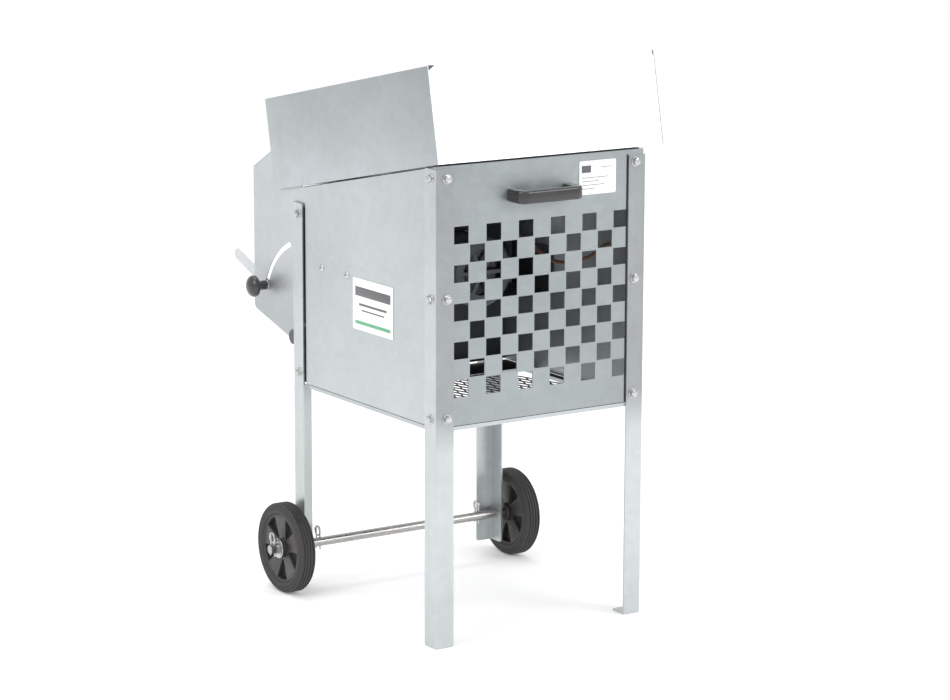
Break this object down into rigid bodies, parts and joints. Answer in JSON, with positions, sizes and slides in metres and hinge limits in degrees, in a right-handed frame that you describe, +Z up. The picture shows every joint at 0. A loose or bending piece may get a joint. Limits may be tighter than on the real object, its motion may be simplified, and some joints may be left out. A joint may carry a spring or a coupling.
{
  "type": "olive leaf separator",
  "caption": "Electric olive cleaner on four legs and two wheels: a sloping steel feed hopper over a fan box with a chequered intake grille and an adjustable rear chute.",
  "frame": {"origin": "on the ground under the centre of the machine's bounding box", "axes": "+Z up, -Y towards the intake grille and carrying handle, +X towards the switch side"},
  "size_m": [0.544, 0.7222, 0.972],
  "materials": {
    "galvanised_sheet": "satin",
    "zinc_steel": "bright",
    "black_plastic": "gloss",
    "cast_aluminium": "satin",
    "motor_paint": "satin",
    "rubber": "matt",
    "cable_sheath": "matt",
    "white_plate": "satin",
    "green_plastic": "gloss",
    "red_plastic": "gloss"
  },
  "bodies": {
    "base": {"leg_front_left": "galvanised_sheet", "leg_front_right": "galvanised_sheet", "leg_rear_left": "galvanised_sheet", "leg_rear_right": "galvanised_sheet", "side_panel_left": "galvanised_sheet", "side_panel_right": "galvanised_sheet", "front_grille": "galvanised_sheet", "rear_bulkhead": "galvanised_sheet", "floor_tray": "galvanised_sheet", "floor_mesh": "galvanised_sheet", "hopper_side_left": "galvanised_sheet", "hopper_side_right": "galvanised_sheet", "hopper_front": "galvanised_sheet", "hopper_floor": "galvanised_sheet", "hopper_rear": "galvanised_sheet", "chute_side_left": "galvanised_sheet", "chute_side_right": "galvanised_sheet", "chute_cover": "galvanised_sheet", "outlet_mesh": "galvanised_sheet", "fan_ring": "galvanised_sheet", "motor_shelf": "galvanised_sheet", "chute_tie_rod": "zinc_steel", "axle": "zinc_steel", "axle_clip_left_inner": "zinc_steel", "axle_clip_left_outer": "zinc_steel", "axle_clip_right_inner": "zinc_steel", "axle_clip_right_outer": "zinc_steel", "axle_washer_left": "zinc_steel", "axle_washer_right": "zinc_steel", "tie_rod_cap_left": "black_plastic", "tie_rod_cap_right": "black_plastic", "deflector_bush_left": "black_plastic", "deflector_bush_right": "black_plastic", "front_handle": "black_plastic", "motor_terminal_box": "black_plastic", "switch_housing": "black_plastic", "power_inlet": "black_plastic", "motor_body": "motor_paint", "motor_front_shield": "motor_paint", "motor_cowl": "motor_paint", "motor_cradle_front": "motor_paint", "motor_cradle_rear": "motor_paint", "motor_lead": "cable_sheath", "rating_plate": "white_plate", "side_badge": "white_plate"},
    "fan_rotor": {"fan_impeller": "cast_aluminium", "motor_shaft": "zinc_steel", "motor_cooling_fan": "black_plastic"},
    "wheel_left": {"wheel_left_tyre": "rubber", "wheel_left_rim": "black_plastic"},
    "wheel_right": {"wheel_right_tyre": "rubber", "wheel_right_rim": "black_plastic"},
    "deflector": {"deflector_shaft": "zinc_steel", "deflector_lever": "galvanised_sheet", "deflector_flap": "galvanised_sheet", "clamp_stud": "zinc_steel", "clamp_washer": "zinc_steel"},
    "knob": {"clamp_knob": "black_plastic"},
    "start": {"start_button": "green_plastic"},
    "stop": {"stop_button": "red_plastic"}
  },
  "joints": [
    {"name": "fan_spin", "type": "hinge", "parent": "base", "child": "fan_rotor", "pos_m": [0, 0.08193, 0.59], "axis": [0, 1, 0], "continuous": true},
    {"name": "wheel_left_spin", "type": "hinge", "parent": "base", "child": "wheel_left", "pos_m": [-0.238, 0.12293, 0.08], "axis": [1, 0, 0], "continuous": true},
    {"name": "wheel_right_spin", "type": "hinge", "parent": "base", "child": "wheel_right", "pos_m": [0.238, 0.12293, 0.08], "axis": [1, 0, 0], "continuous": true},
    {"name": "deflector_tilt", "type": "hinge", "parent": "base", "child": "deflector", "pos_m": [0, 0.10893, 0.48], "axis": [1, 0, 0], "range_deg": [0, 48]},
    {"name": "knob_turn", "type": "hinge", "parent": "deflector", "child": "knob", "pos_m": [-0.207, 0.24295, 0.52931], "axis": [1, 0, 0], "range_deg": [0, 270]},
    {"name": "start_press", "type": "slide", "parent": "base", "child": "start", "axis": [-1, 0, 0], "range_m": [0, 0.003], "stiffness_N_per_m": 400},
    {"name": "stop_press", "type": "slide", "parent": "base", "child": "stop", "axis": [-1, 0, 0], "range_m": [0, 0.003], "stiffness_N_per_m": 400}
  ]
}
